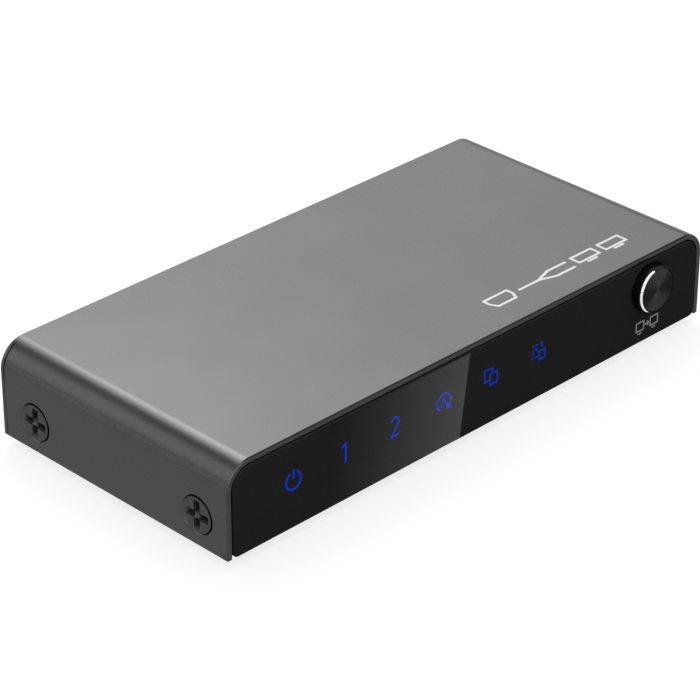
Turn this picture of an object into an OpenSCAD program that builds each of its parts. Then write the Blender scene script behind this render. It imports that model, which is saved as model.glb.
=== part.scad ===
// One-input, two-output video splitter in a bent sheet-metal case.
// X runs along the front from left to right, +Y to the back, +Z up.
// Pieces are drawn from the middle of the case's underside; in_frame() then
// stands the part on its feet and centres its whole length on the origin.

/* [Case] */
// Width of the case
housing_w = 100; // [92:1:130]
// Depth of the case, front to back
housing_d = 48; // [44:0.5:60]
// Height of the case without its feet
housing_h = 15; // [13.8:0.1:18]
// Sheet thickness of the cover
cover_t = 0.9; // [0.7:0.1:1.1]
// Outside radius of the cover's two bends
bend_r = 4.3; // [3:0.1:5]
// Sheet thickness of the tray
tray_t = 1; // [0.8:0.1:1.2]
// Gap between the cover and the panels that fill its ends
panel_gap = 0.3; // [0.2:0.05:0.5]
// Gap between the cover's legs and the tray's tabs
cover_fit = 0.1; // [0.05:0.05:0.2]
// How far the rear wall lies inside the cover's back edge
rear_inset = 0.4; // [0.2:0.1:1]

/* [Feet] */
// Radius of a foot
foot_r = 4; // [3:0.5:5]
// Height of a foot
foot_h = 1.5; // [1:0.25:3]
// Foot centre from the case's sides, front and back
foot_inset = 7; // [6:0.5:10]

/* [Side screws] */
// Front screw behind the cover's front edge
side_screw_front = 6.2; // [6:0.1:7]
// Rear screw in front of the cover's back edge
side_screw_rear = 7.3; // [6.5:0.1:9]
// Height of the side screws above the case's underside
side_screw_z = 4.85; // [4.2:0.05:5.5]
// Mouth radius of the countersunk holes
side_hole_r = 3.2; // [2.9:0.1:3.4]
// How far a screw head lies below the cover's face
head_sink = 0.05; // [0.05:0.05:0.3]
// Gap between a screw head and its countersink
head_fit = 0.2; // [0.05:0.05:0.3]
// Radius of the screw thread
screw_r = 1.5; // [1.25:0.05:1.6]
// Gap between a screw thread and its hole
thread_fit = 0.05; // [0.02:0.01:0.1]
// Length of a side screw with its head
side_screw_len = 4; // [3.5:0.1:4.5]
// Across the arms of the cross recess
recess_span = 3.9; // [3:0.1:4.1]
// Width of a recess arm
recess_arm = 1.05; // [0.8:0.05:1.2]
// Depth of the cross recess
recess_depth = 1.1; // [0.8:0.1:1.2]
// Width of a tray tab
tab_w = 7; // [6.6:0.1:8]
// Height of a tray tab
tab_h = 9.4; // [8.5:0.1:10]
// Length of the threaded collar behind a tab
collar_len = 1.4; // [0.8:0.1:1.6]
// Wall of the threaded collar
collar_wall = 0.9; // [0.6:0.1:1.2]

/* [Front panel] */
// Thickness of the front panel
panel_t = 2; // [1.5:0.1:2.5]
// Radius of the panel's lower corners
panel_corner_r = 0.9; // [0.5:0.1:1.5]
// Thickness of the adhesive tape behind the panel
tape_t = 0.3; // [0.2:0.05:0.5]
// How far the tray's front wall lies inside the panel's outline
front_wall_inset = 0.6; // [0.3:0.1:1]

/* [Lit symbols] */
// First symbol from the case's left side
icon_inset = 12.5; // [11:0.1:14]
// Distance between symbols
icon_pitch = 10; // [8:0.1:10.5]
// Middle of the symbols below the case's top
icon_drop = 7.3; // [6.5:0.1:7.7]
// Radius of the round symbols, to the middle of the line
icon_r = 1.4; // [1.1:0.05:1.6]
// Width of the symbols' lines
icon_stroke = 0.34; // [0.26:0.02:0.44]
// Width of the fine lines in the pictograms
fine_stroke = 0.26; // [0.2:0.02:0.34]
// Depth of a symbol's inlay
inlay_t = 0.4; // [0.2:0.1:1]
// Gap round an inlay
inlay_fit = 0.02; // [0.01:0.01:0.05]
// Side of a symbol's light guide
guide_w = 5.4; // [4.6:0.1:6]
// Gap round a light guide
guide_fit = 0.1; // [0.05:0.05:0.2]
// Wall of the light baffle round the guides
baffle_wall = 0.8; // [0.6:0.1:1]
// Depth of the light baffle
baffle_t = 1.5; // [1:0.1:2]
// Length of a side-firing lamp
led_w = 1.6; // [1.2:0.1:2]
// Depth and height of a side-firing lamp
led_h = 1; // [0.6:0.1:1.2]

/* [Button] */
// Button centre from the case's right side
button_inset = 12.3; // [11.5:0.1:14]
// Button's axis below the case's top
button_drop = 5.65; // [5.6:0.05:5.9]
// Radius of the button
button_r = 3.8; // [3:0.1:3.9]
// Width of the bright chamfer
chamfer_w = 0.2; // [0.15:0.05:0.5]
// Depth of the bright chamfer
chamfer_h = 0.3; // [0.2:0.05:0.5]
// How far the button's face stands out of the panel
button_proud = 1.8; // [1.2:0.1:2.5]
// Thickness of the button's metal disc
disc_t = 0.5; // [0.45:0.05:0.8]
// Width of the bright ring's flat rim round the disc
ring_rim = 0.1; // [0.05:0.05:0.2]
// Gap between the button and the panel
button_fit = 0.15; // [0.1:0.05:0.3]
// How far the button's flange reaches past its hole
flange_lap = 0.35; // [0.3:0.05:0.5]
// Thickness of the button's flange
flange_t = 0.8; // [0.5:0.1:0.9]
// Room round the flange and behind it
flange_room = 0.35; // [0.2:0.05:0.4]
// Gap between the flange and the panel at rest
flange_seat = 0.1; // [0.05:0.05:0.2]
// Radius of the button's stem
stem_r = 1.4; // [1:0.1:1.7]
// Travel of the button
press_travel = 0.35; // [0.2:0.05:0.5]
// Gap between the stem and the switch plunger
stem_gap = 0.02; // [0.01:0.01:0.05]

/* [Switch] */
// Width of the switch
switch_w = 6; // [5:0.5:6.5]
// Depth of the switch
switch_d = 4; // [3.4:0.1:4.5]
// Height of the switch
switch_h = 7; // [6:0.1:7.4]
// Plunger axis above the board
switch_axis_h = 3.65; // [3.5:0.05:3.8]
// Radius of the plunger
plunger_r = 1.75; // [1.2:0.05:2]
// Gap round the plunger
plunger_fit = 0.08; // [0.05:0.01:0.1]
// How far the plunger stands out of the switch
plunger_out = 1.2; // [0.8:0.1:1.4]
// How far the plunger reaches into the switch
plunger_in = 0.8; // [0.5:0.1:1.2]
// Switch front behind the board's front edge
switch_setback = 0.5; // [0.2:0.1:0.8]

/* [Board] */
// Thickness of the circuit board
board_t = 1.6; // [1.2:0.1:1.8]
// Gap between the board's front edge and the light baffle
board_front_gap = 0.2; // [0.1:0.1:0.4]
// Gap between the board and the rear wall
board_rear_gap = 0.6; // [0.4:0.1:1]
// Gap between the board and the tips of the side screws
board_side_gap = 1.3; // [0.8:0.1:1.6]
// Board screw centre from the board's sides
board_hole_side = 3.5; // [3.2:0.1:4]
// Front board screws behind the board's front edge
board_hole_front = 9; // [8:0.5:12]
// Rear board screws in front of the board's rear edge
board_hole_rear = 8; // [6:0.5:9]
// Radius of a standoff
standoff_r = 2.6; // [2.3:0.1:3]
// Radius of a board screw's head
board_head_r = 2.5; // [2.2:0.1:2.7]
// Height of a board screw's head
board_head_h = 1.6; // [1.2:0.1:2]
// Room round a board screw in the board
board_screw_fit = 0.2; // [0.1:0.05:0.3]
// Across the arms of a board screw's recess
board_recess_span = 3; // [2.4:0.1:3.4]
// How far a board screw reaches into its standoff
board_screw_bite = 2.2; // [1.5:0.1:2.4]

/* [Video sockets] */
// Input socket from the case's right side
socket_inset = 20; // [18.5:0.5:21]
// Opening width of a socket
socket_w = 14; // [13.9:0.05:14.2]
// Opening height of a socket
socket_h = 4.55; // [4.45:0.05:4.7]
// Width of the cut lower corners of a socket
socket_cut_w = 1.9; // [1.2:0.1:2.2]
// Height of the cut lower corners of a socket
socket_cut_h = 1.7; // [1.2:0.1:2.2]
// Sheet thickness of a socket's shell
shell_t = 0.35; // [0.25:0.05:0.4]
// Length of a socket's shell
shell_len = 11.5; // [10:0.5:13]
// How far the sockets stand out of the rear wall
socket_proud = 0.6; // [0.4:0.1:1]
// Gap between a socket and the rear wall
socket_fit = 0.2; // [0.1:0.05:0.4]
// Depth of the insulator at a socket's inner end
insulator_t = 4; // [2:0.5:5]
// Gap between the insulator and its shell
insulator_fit = 0.05; // [0.02:0.01:0.1]
// Width of the contact tongue
tongue_w = 11; // [10.4:0.1:11.4]
// Thickness of the contact tongue
tongue_t = 1.1; // [0.8:0.1:1.3]
// Height of the tongue's middle in the opening
tongue_z = 2.5; // [2.2:0.1:2.8]
// How far the tongue ends inside the mouth
tongue_back = 0.9; // [0.5:0.1:1.5]
// Distance between contacts
contact_pitch = 1; // [0.9:0.01:1.02]
// Width of a contact
contact_w = 0.45; // [0.3:0.05:0.5]
// Thickness of a contact
contact_t = 0.12; // [0.08:0.02:0.2]
// How far a contact ends behind the tongue's tip
contact_back = 0.5; // [0.2:0.1:1]

/* [Power jack] */
// Jack from the case's left side
jack_inset = 16; // [14.5:0.5:16.5]
// Room between the jack and the socket beside it
jack_gap = 8.55; // [7.5:0.05:14.5]
// Width of the jack's body
jack_w = 8.2; // [8:0.1:8.6]
// Height of the jack's body
jack_h = 7.6; // [7.4:0.1:7.9]
// Depth of the jack's body
jack_d = 11.5; // [11:0.5:13]
// Wall of the jack's round nose
jack_wall = 0.8; // [0.5:0.1:0.8]
// Radius of the jack's bore
jack_bore_r = 2.9; // [2.8:0.05:2.95]
// Depth of the jack's bore
jack_bore_d = 10; // [9:0.5:11]
// Radius of the jack's pin
jack_pin_r = 1; // [0.8:0.05:1.25]
// How far the pin ends inside the mouth
jack_pin_back = 1.2; // [0.8:0.1:2]
// How deep the pin sits in the jack's back wall
jack_pin_seat = 1.2; // [0.8:0.1:1.4]
// How much thinner the pin's seat is than the pin
jack_pin_step = 0.25; // [0.1:0.05:0.4]
// How far the jack stands out of the rear wall
jack_proud = 0.3; // [0.1:0.1:0.5]
// Thickness of the jack's leaf spring
leaf_t = 0.25; // [0.2:0.05:0.3]
// Width of the jack's leaf spring
leaf_w = 1.8; // [1.4:0.1:2]
// Depth of the leaf spring's slot beside the bore
leaf_slot = 0.5; // [0.4:0.05:0.6]

/* [Board parts] */
// Room between neighbouring parts on the board
part_gap = 1.5; // [1:0.1:2]
// Middle of the splitter chip in front of the line drivers
chip_lead = 9.4; // [8.4:0.1:11.4]
// Side of the splitter chip
chip_w = 12; // [10:0.5:13]
// Height of the splitter chip
chip_h = 1.2; // [0.8:0.1:1.4]
// Thickness of the thermal pad
pad_t = 0.5; // [0.3:0.1:1]
// Side of the heat sink
sink_w = 14; // [12:0.5:15]
// Height of the heat sink
sink_h = 4.6; // [3:0.1:4.8]
// Thickness of the heat sink's base
sink_base = 1.2; // [0.8:0.1:1.5]
// Thickness of a heat sink fin
fin_t = 0.9; // [0.6:0.1:1.1]
// Side of a line driver chip
driver_w = 5; // [4:0.5:6]
// Height of a line driver chip
driver_h = 0.9; // [0.6:0.1:1]
// Side of the regulator chip
regulator_w = 4; // [3:0.5:5]
// Side of the controller chip
controller_w = 7; // [5:0.5:8]
// Side of the power coil
coil_w = 5; // [4:0.5:6]
// Height of the power coil
coil_h = 3; // [2:0.1:3.2]
// Side of the notches in the power coil
coil_notch = 0.8; // [0.5:0.1:1]
// Radius of a can capacitor
can_r = 2; // [1.5:0.1:2.2]
// Height of a can capacitor
can_h = 3; // [2.5:0.1:3.2]
// Length of a chip capacitor or resistor
chip_part_l = 1.6; // [1:0.1:1.8]
// Width and height of a chip capacitor or resistor
chip_part_w = 0.8; // [0.5:0.05:0.9]
// Distance between chip parts in a row
chip_part_pitch = 2.3; // [2:0.1:2.6]

/* [Hidden] */
$fn = 64;
eps = 0.5;
sides = [-1, 1];
icon_count = 6;
fin_count = 5;
upper_contacts = 10;
lower_contacts = 9;
socket_names = ["input", "output_1", "output_2"];

case_x = housing_w / 2;
front_y = -housing_d / 2;
back_y = housing_d / 2;
ceiling_z = housing_h - cover_t;
button_z = housing_h - button_drop;
icon_z = housing_h - icon_drop;
rear_face_y = back_y - rear_inset;
rear_inner_y = rear_face_y - tray_t;
mouth_y = rear_face_y + socket_proud;
wall_front_y = front_y + panel_t + tape_t;
wall_back_y = wall_front_y + tray_t;
baffle_back_y = wall_back_y + baffle_t;
tray_x = case_x - cover_t - panel_gap;
tab_x = case_x - cover_t - cover_fit;
side_head_r = side_hole_r - head_sink - head_fit;
screw_tip_x = case_x - head_sink - side_screw_len;
side_screw_y = [front_y + side_screw_front, back_y - side_screw_rear];
thread_hole_r = screw_r + thread_fit;

board_x = screw_tip_x - board_side_gap;
board_front_y = baffle_back_y + board_front_gap;
board_back_y = rear_inner_y - board_rear_gap;
board_top_z = button_z - switch_axis_h;
board_z = board_top_z - board_t;
board_hole_x = board_x - board_hole_side;
board_hole_y = [board_front_y + board_hole_front, board_back_y - board_hole_rear];
shell_top_z = board_top_z + socket_h + 2 * shell_t;
shell_back_y = mouth_y - shell_len;
insulator_front_y = shell_back_y + insulator_t;
tongue_front_y = mouth_y - tongue_back;

jack_x = -case_x + jack_inset;
last_socket_x = jack_x + jack_w / 2 + jack_gap + shell_t + socket_w / 2;
socket_pitch = (case_x - socket_inset - last_socket_x) / 2;
socket_x = [for (i = [0:2]) case_x - socket_inset - i * socket_pitch];
jack_z = board_top_z + jack_h / 2;
jack_mouth_y = rear_face_y + jack_proud;
jack_nose_r = jack_bore_r + jack_wall;
jack_body_y = rear_inner_y - socket_fit;
jack_bore_y = jack_mouth_y - jack_bore_d;
jack_seat_r = jack_pin_r - jack_pin_step;
leaf_y = [jack_bore_y, jack_body_y - 2 * leaf_t];

button_x = case_x - button_inset;
button_hole_r = button_r + button_fit;
flange_r = button_hole_r + flange_lap;
face_r = button_r - chamfer_w;
disc_r = face_r - ring_rim;
flange_front_y = front_y + panel_t + flange_seat;
switch_front_y = board_front_y + switch_setback;
plunger_tip_y = switch_front_y - plunger_out;
icon_x = [for (i = [0:icon_count - 1]) -case_x + icon_inset + i * icon_pitch];
window_w = guide_w + 2 * guide_fit;

chip_x = (socket_x[1] + socket_x[2]) / 2;
resistor_y = shell_back_y - chip_part_w;
driver_y = resistor_y - part_gap - driver_w / 2;
chip_y = driver_y - driver_w / 2 - chip_lead;
controller_x = (socket_x[0] + socket_x[1]) / 2;
crystal_x = controller_x + controller_w / 2 + part_gap + chip_part_l;
power_y = jack_body_y - jack_d - part_gap - coil_w / 2;
regulator_x = jack_x + coil_w / 2 + part_gap + regulator_w / 2;
can_y = power_y - coil_w / 2 - part_gap - can_r;

// The whole part is as long as from the button's face to the sockets' mouths
rear_reach = max(mouth_y, back_y);
housing_y = (button_proud - front_y - rear_reach) / 2;

module in_frame() {
    translate([0, housing_y, foot_h]) children();
}

// Extrudes a front-view outline from y0 to y1
module upright(y0, y1) {
    translate([0, y1, 0]) rotate([90, 0, 0]) linear_extrude(y1 - y0) children();
}

// Turns a part that is drawn along +Z so that it points along +Y
module along_y(x, y, z) {
    translate([x, y, z]) rotate([-90, 0, 0]) children();
}

// Plate outline with its own radius at the upper and lower corners
module plate_outline(w, z0, z1, top_r, low_r = 0) {
    mid_z = (z0 + z1) / 2;
    translate([-w / 2, z0 + low_r]) square([w, z1 - z0 - top_r - low_r]);
    translate([-w / 2 + top_r, mid_z]) square([w - 2 * top_r, z1 - mid_z]);
    translate([-w / 2 + low_r, z0]) square([w - 2 * low_r, mid_z - z0]);
    for (s = sides) {
        translate([s * (w / 2 - top_r), z1 - top_r]) circle(top_r);
        if (low_r > 0) translate([s * (w / 2 - low_r), z0 + low_r]) circle(low_r);
    }
}

// The cover's inside outline, drawn in by a gap
module end_outline(gap, low_r = 0) {
    plate_outline(housing_w - 2 * (cover_t + gap), 0, ceiling_z - gap, bend_r - cover_t - gap, low_r);
}

// Countersunk hole for a side screw, seen from the side it is driven from
module side_hole(s, y) {
    cone_h = side_hole_r - thread_hole_r;
    translate([s * case_x, y, side_screw_z]) rotate([0, -s * 90, 0]) {
        translate([0, 0, -eps]) cylinder(h = cone_h + eps, r1 = side_hole_r + eps, r2 = thread_hole_r);
        cylinder(h = side_screw_len + 2 * eps, r = thread_hole_r);
    }
}

module side_holes() {
    for (s = sides, y = side_screw_y) side_hole(s, y);
}

module top_cover() {
    color("#7b7b7d") difference() {
        upright(front_y, back_y) difference() {
            plate_outline(housing_w, 0, housing_h, bend_r);
            plate_outline(housing_w - 2 * cover_t, -eps, ceiling_z, bend_r - cover_t);
        }
        side_holes();
    }
}

// Windows for the light guides and the notch for the button's flange
module front_openings() {
    for (x = icon_x) translate([x, icon_z]) square(window_w, center = true);
    translate([button_x, button_z]) circle(flange_r + flange_room);
}

module front_wall_outline() {
    difference() {
        end_outline(panel_gap + front_wall_inset);
        front_openings();
    }
}

// Opening of a video socket, drawn out by a wall thickness
module socket_outline(grow) {
    half_w = socket_w / 2 + grow;
    foot_w = socket_w / 2 - socket_cut_w + grow / 2;
    polygon([[-half_w, socket_h + grow], [-half_w, socket_cut_h], [-foot_w, -grow],
        [foot_w, -grow], [half_w, socket_cut_h], [half_w, socket_h + grow]]);
}

module at_socket(x) {
    translate([x, board_top_z + shell_t]) children();
}

module rear_wall_outline() {
    difference() {
        end_outline(panel_gap);
        for (x = socket_x) at_socket(x) socket_outline(shell_t + socket_fit);
        translate([jack_x, jack_z]) circle(jack_nose_r + socket_fit);
    }
}

module tray_tab(s, y) {
    low_x = s > 0 ? tab_x - tray_t : -tab_x;
    translate([low_x, y - tab_w / 2, 0]) cube([tray_t, tab_w, tab_h]);
    translate([s * (tab_x - tray_t + eps / 2), y, side_screw_z]) rotate([0, -s * 90, 0])
        cylinder(h = collar_len + eps / 2, r = thread_hole_r + collar_wall);
}

module base_tray() {
    color("#5c5c5e") difference() {
        union() {
            translate([-tray_x, wall_front_y, 0]) cube([2 * tray_x, rear_face_y - wall_front_y, tray_t]);
            upright(wall_front_y, wall_back_y) front_wall_outline();
            upright(rear_inner_y, rear_face_y) rear_wall_outline();
            for (s = sides, y = side_screw_y) tray_tab(s, y);
        }
        side_holes();
    }
}

// Cross recess, cut down from z = 0
module cross_recess(span, arm, depth) {
    for (turn = [0, 90]) rotate(turn) translate([-span / 2, -arm / 2, -depth]) cube([span, arm, depth + eps]);
}

module side_screw() {
    cone_h = side_head_r - screw_r;
    difference() {
        union() {
            translate([0, 0, -cone_h]) cylinder(h = cone_h, r1 = screw_r, r2 = side_head_r);
            translate([0, 0, -side_screw_len]) cylinder(h = side_screw_len - cone_h / 2, r = screw_r);
        }
        cross_recess(recess_span, recess_arm, recess_depth);
    }
}

module cover_screws() {
    color("#4a4a4c") for (s = sides, y = side_screw_y)
        translate([s * (case_x - head_sink), y, side_screw_z]) rotate([0, s * 90, 0]) side_screw();
}

module rubber_feet() {
    color("#1c1c1c") for (sx = sides, sy = sides)
        translate([sx * (case_x - foot_inset), sy * (back_y - foot_inset), -foot_h])
            cylinder(h = foot_h, r = foot_r);
}

// A straight line of the lit symbols, drawn out by a gap
module line(from, to, grow, stroke = icon_stroke) {
    w = stroke + 2 * grow;
    span = to - from;
    translate(from) rotate(atan2(span[1], span[0])) translate([-w / 2, -w / 2]) square([norm(span) + w, w]);
}

// A line through several points
module path(points, grow, stroke = icon_stroke) {
    for (i = [0:len(points) - 2]) line(points[i], points[i + 1], grow, stroke);
}

// A round line from one angle to another, less than half a turn open
module arc_line(radius, open_from, open_to, grow) {
    half = icon_stroke / 2 + grow;
    far = 3 * radius;
    middle = (open_from + open_to) / 2;
    difference() {
        circle(radius + half);
        circle(radius - half);
        polygon([[0, 0], far * [cos(open_from), sin(open_from)], far * [cos(middle), sin(middle)],
            far * [cos(open_to), sin(open_to)]]);
    }
}

module power_mark(grow) {
    arc_line(icon_r, 62, 118, grow);
    line([0, 0.3 * icon_r], [0, 1.2 * icon_r], grow);
}

module one_mark(grow) {
    path(icon_r * [[-0.4, 0.85], [0.1, 1.15], [0.1, -0.95]], grow);
}

module two_mark(grow) {
    bow_r = 0.52 * icon_r;
    bow_z = 0.66 * icon_r;
    translate([0, bow_z]) arc_line(bow_r, 165, 325, grow);
    path([[bow_r * cos(-35), bow_z + bow_r * sin(-35)], icon_r * [-0.5, -0.95], icon_r * [0.5, -0.95]], grow);
}

module cycle_mark(grow) {
    arc_line(icon_r, 240, 300, grow);
    path(icon_r * [[0.5, -0.45], [0.5, -0.87], [0.95, -0.87]], grow);
    path(icon_r * [[-0.38, -0.4], [0, 0.5], [0.38, -0.4]], grow, fine_stroke);
}

module page_mark(w, h, grow) {
    path([[0, 0], [0, h], [w, h], [w, 0], [0, 0]], grow, fine_stroke);
}

// A page that half hides another
module pages_mark(grow) {
    behind = [[-0.25, -0.23], [-1.06, -0.23], [-1.06, 1.11], [0.14, 1.11], [0.14, 0.5]];
    path(icon_r * behind, grow, fine_stroke);
    translate(icon_r * [-0.18, -0.86]) page_mark(1.08 * icon_r, 1.3 * icon_r, grow);
}

// A page that is copied from a dashed one
module dashed_pages_mark(grow) {
    dashes = [[[-0.75, 1.07], [-0.08, 1.07]], [[0.5, 1.07], [0.72, 1.07], [0.72, 0.65]],
        [[-0.75, 0.45], [-0.75, 0.1]], [[-0.75, -0.3], [-0.75, -0.4]], [[-0.25, -0.4], [-0.05, -0.4]]];
    for (dash = dashes) path(icon_r * dash, grow, fine_stroke);
    path(icon_r * [[-0.28, 0.6], [-0.05, 0.37]], grow, fine_stroke);
    translate(icon_r * [0.27, -0.86]) page_mark(0.92 * icon_r, 0.97 * icon_r, grow);
}

module icon_mark(i, grow) {
    translate([icon_x[i], icon_z]) {
        if (i == 0) power_mark(grow);
        if (i == 1) one_mark(grow);
        if (i == 2) two_mark(grow);
        if (i == 3) cycle_mark(grow);
        if (i == 4) pages_mark(grow);
        if (i == 5) dashed_pages_mark(grow);
    }
}

module lit_symbol(i) {
    color("#2038e0") upright(front_y, front_y + inlay_t) icon_mark(i, 0);
}

module front_panel() {
    color("#161617") difference() {
        upright(front_y, front_y + panel_t) difference() {
            end_outline(panel_gap, panel_corner_r);
            translate([button_x, button_z]) circle(button_hole_r);
        }
        upright(front_y - eps, front_y + inlay_t) for (i = [0:icon_count - 1]) icon_mark(i, inlay_fit);
    }
}

module panel_tape() {
    color("#303032") upright(front_y + panel_t, wall_front_y) front_wall_outline();
}

module light_baffle() {
    edge = window_w / 2 + baffle_wall;
    low_x = icon_x[0] - edge;
    high_x = icon_x[icon_count - 1] + edge;
    color("#242426") upright(wall_back_y, baffle_back_y) difference() {
        translate([low_x, icon_z - edge]) square([high_x - low_x, 2 * edge]);
        for (x = icon_x) translate([x, icon_z]) square(window_w, center = true);
    }
}

module light_guide(i) {
    color("#dfe8ee") upright(front_y + panel_t, baffle_back_y)
        translate([icon_x[i], icon_z]) square(guide_w, center = true);
}

module lamp(i) {
    color("#f2f2ea") translate([icon_x[i] - led_w / 2, board_front_y, board_top_z])
        cube([led_w, led_h, led_h]);
}

// The button is drawn along +Y from its outer face
module button_cap() {
    face_y = front_y - button_proud;
    color("#0e0e0f") {
        along_y(button_x, face_y + disc_t, button_z)
            cylinder(h = flange_front_y - face_y - disc_t + flange_t / 2, r = button_r);
        along_y(button_x, flange_front_y, button_z) cylinder(h = flange_t, r = flange_r);
        along_y(button_x, flange_front_y, button_z)
            cylinder(h = plunger_tip_y - stem_gap - flange_front_y, r = stem_r);
    }
}

module button_ring() {
    color("#e4e4e6") along_y(button_x, front_y - button_proud, button_z) rotate_extrude()
        polygon([[disc_r, 0], [face_r, 0], [button_r, chamfer_h], [button_r, disc_t], [disc_r, disc_t]]);
}

module button_disc() {
    color("#3c3c3e") along_y(button_x, front_y - button_proud + ring_rim / 2, button_z)
        cylinder(h = disc_t - ring_rim / 2, r = disc_r - inlay_fit);
}

module switch_body() {
    hole_d = plunger_in + press_travel + flange_room;
    color("#202022") difference() {
        translate([button_x - switch_w / 2, switch_front_y, board_top_z])
            cube([switch_w, switch_d, switch_h]);
        along_y(button_x, switch_front_y - eps, button_z)
            cylinder(h = hole_d + eps, r = plunger_r + plunger_fit);
    }
}

module switch_plunger() {
    color("#d8d8d4") along_y(button_x, plunger_tip_y, button_z)
        cylinder(h = plunger_out + plunger_in, r = plunger_r);
}

module at_board_holes() {
    for (sx = sides, y = board_hole_y) translate([sx * board_hole_x, y, 0]) children();
}

module circuit_board() {
    color("#14532d") difference() {
        translate([-board_x, board_front_y, board_z])
            cube([2 * board_x, board_back_y - board_front_y, board_t]);
        at_board_holes() translate([0, 0, board_z - eps])
            cylinder(h = board_t + 2 * eps, r = screw_r + board_screw_fit);
    }
}

module board_standoffs() {
    color("#c9b36a") at_board_holes() translate([0, 0, tray_t]) difference() {
        cylinder(h = board_z - tray_t, r = standoff_r);
        translate([0, 0, eps]) cylinder(h = board_z, r = thread_hole_r);
    }
}

module board_screws() {
    shank = board_t + min(board_screw_bite, board_z - tray_t - 2 * thread_fit - eps);
    color("#b8b8bc") at_board_holes() translate([0, 0, board_top_z]) difference() {
        union() {
            cylinder(h = board_head_h, r = board_head_r);
            translate([0, 0, -shank]) cylinder(h = shank + board_head_h / 2, r = screw_r);
        }
        translate([0, 0, board_head_h]) cross_recess(board_recess_span, recess_arm, recess_depth);
    }
}

module socket_shell(i) {
    color("#b4b6ba") upright(shell_back_y, mouth_y) at_socket(socket_x[i]) difference() {
        socket_outline(shell_t);
        socket_outline(0);
    }
}

module socket_insulator(i) {
    color("#19191a") {
        upright(shell_back_y, insulator_front_y) at_socket(socket_x[i]) socket_outline(-insulator_fit);
        upright(insulator_front_y - eps, tongue_front_y) at_socket(socket_x[i])
            translate([-tongue_w / 2, tongue_z - tongue_t / 2]) square([tongue_w, tongue_t]);
    }
}

module contact_row(count, low_z) {
    for (k = [0:count - 1])
        translate([(k - (count - 1) / 2) * contact_pitch - contact_w / 2, low_z])
            square([contact_w, contact_t]);
}

module socket_contacts(i) {
    color("#d9a441") upright(insulator_front_y, tongue_front_y - contact_back) at_socket(socket_x[i]) {
        contact_row(upper_contacts, tongue_z + tongue_t / 2);
        contact_row(lower_contacts, tongue_z - tongue_t / 2 - contact_t);
    }
}

module jack_body() {
    color("#1b1b1c") difference() {
        union() {
            translate([jack_x - jack_w / 2, jack_body_y - jack_d, board_top_z])
                cube([jack_w, jack_d, jack_h]);
            along_y(jack_x, jack_body_y - eps, jack_z)
                cylinder(h = jack_mouth_y - jack_body_y + eps, r = jack_nose_r);
        }
        along_y(jack_x, jack_bore_y, jack_z) cylinder(h = jack_bore_d + eps, r = jack_bore_r);
        along_y(jack_x, jack_bore_y - jack_pin_seat, jack_z)
            cylinder(h = jack_bore_d, r = jack_seat_r + inlay_fit);
        translate([jack_x - jack_bore_r - leaf_slot, leaf_y[0], jack_z - leaf_w / 2 - guide_fit])
            cube([jack_bore_r, leaf_y[1] - leaf_y[0], leaf_w + 2 * guide_fit]);
    }
}

module jack_pin() {
    tip_y = jack_mouth_y - jack_pin_back - jack_pin_r;
    color("#c9ccd0") {
        along_y(jack_x, jack_bore_y, jack_z) cylinder(h = tip_y - jack_bore_y, r = jack_pin_r);
        along_y(jack_x, jack_bore_y - jack_pin_seat, jack_z)
            cylinder(h = jack_pin_seat + eps, r = jack_seat_r);
        translate([jack_x, tip_y, jack_z]) sphere(jack_pin_r);
    }
}

module jack_leaf() {
    out_x = jack_x - jack_bore_r - leaf_slot + inlay_fit;
    in_x = jack_x - jack_bore_r;
    mid_y = (leaf_y[0] + leaf_y[1]) / 2;
    ends = leaf_y + [leaf_t, -leaf_t];
    color("#d8b25a") translate([0, 0, jack_z - leaf_w / 2]) linear_extrude(leaf_w)
        polygon([[out_x, ends[0]], [in_x - leaf_t, mid_y], [out_x, ends[1]],
            [out_x + leaf_t, ends[1]], [in_x, mid_y], [out_x + leaf_t, ends[0]]]);
}

module on_board(x, y, lift = 0) {
    translate([x, y, board_top_z + lift]) children();
}

module square_part(w, h) {
    translate([-w / 2, -w / 2, 0]) cube([w, w, h]);
}

module splitter_chip() {
    color("#151516") on_board(chip_x, chip_y) square_part(chip_w, chip_h);
}

module thermal_pad() {
    color("#9aa7b8") on_board(chip_x, chip_y, chip_h) square_part(chip_w, pad_t);
}

module heat_sink() {
    fin_pitch = (sink_w - fin_t) / (fin_count - 1);
    color("#2e2f31") on_board(chip_x, chip_y, chip_h + pad_t) {
        square_part(sink_w, sink_base);
        for (k = [0:fin_count - 1])
            translate([-sink_w / 2 + k * fin_pitch, -sink_w / 2, 0]) cube([fin_t, sink_w, sink_h]);
    }
}

module line_driver(i) {
    color("#18181a") on_board(socket_x[i], driver_y) square_part(driver_w, driver_h);
}

module controller_chip() {
    color("#17171a") on_board(controller_x, chip_y) square_part(controller_w, chip_h);
}

module crystal() {
    color("#c2c5c9") on_board(crystal_x, chip_y) square_part(2 * chip_part_l, chip_part_w);
}

module regulator_chip() {
    color("#18181a") on_board(regulator_x, power_y) square_part(regulator_w, driver_h);
}

module power_coil() {
    color("#3a3a3c") on_board(jack_x, power_y) difference() {
        square_part(coil_w, coil_h);
        for (s = sides) translate([s * coil_w / 2, 0, -coil_h]) rotate(45)
            square_part(coil_notch, 3 * coil_h);
    }
}

module can_capacitors() {
    color("#aeb1b6") for (x = [jack_x, regulator_x]) on_board(x, can_y) cylinder(h = can_h, r = can_r);
}

module chip_part() {
    translate([-chip_part_l / 2, -chip_part_w / 2, 0]) cube([chip_part_l, chip_part_w, chip_part_w]);
}

// A row of chip parts on each side of the splitter chip
module chip_capacitors() {
    row_x = sink_w / 2 + chip_part_l;
    color("#b08d57") for (s = sides, k = [-2:2])
        on_board(chip_x + s * row_x, chip_y + k * chip_part_pitch) chip_part();
}

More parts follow.
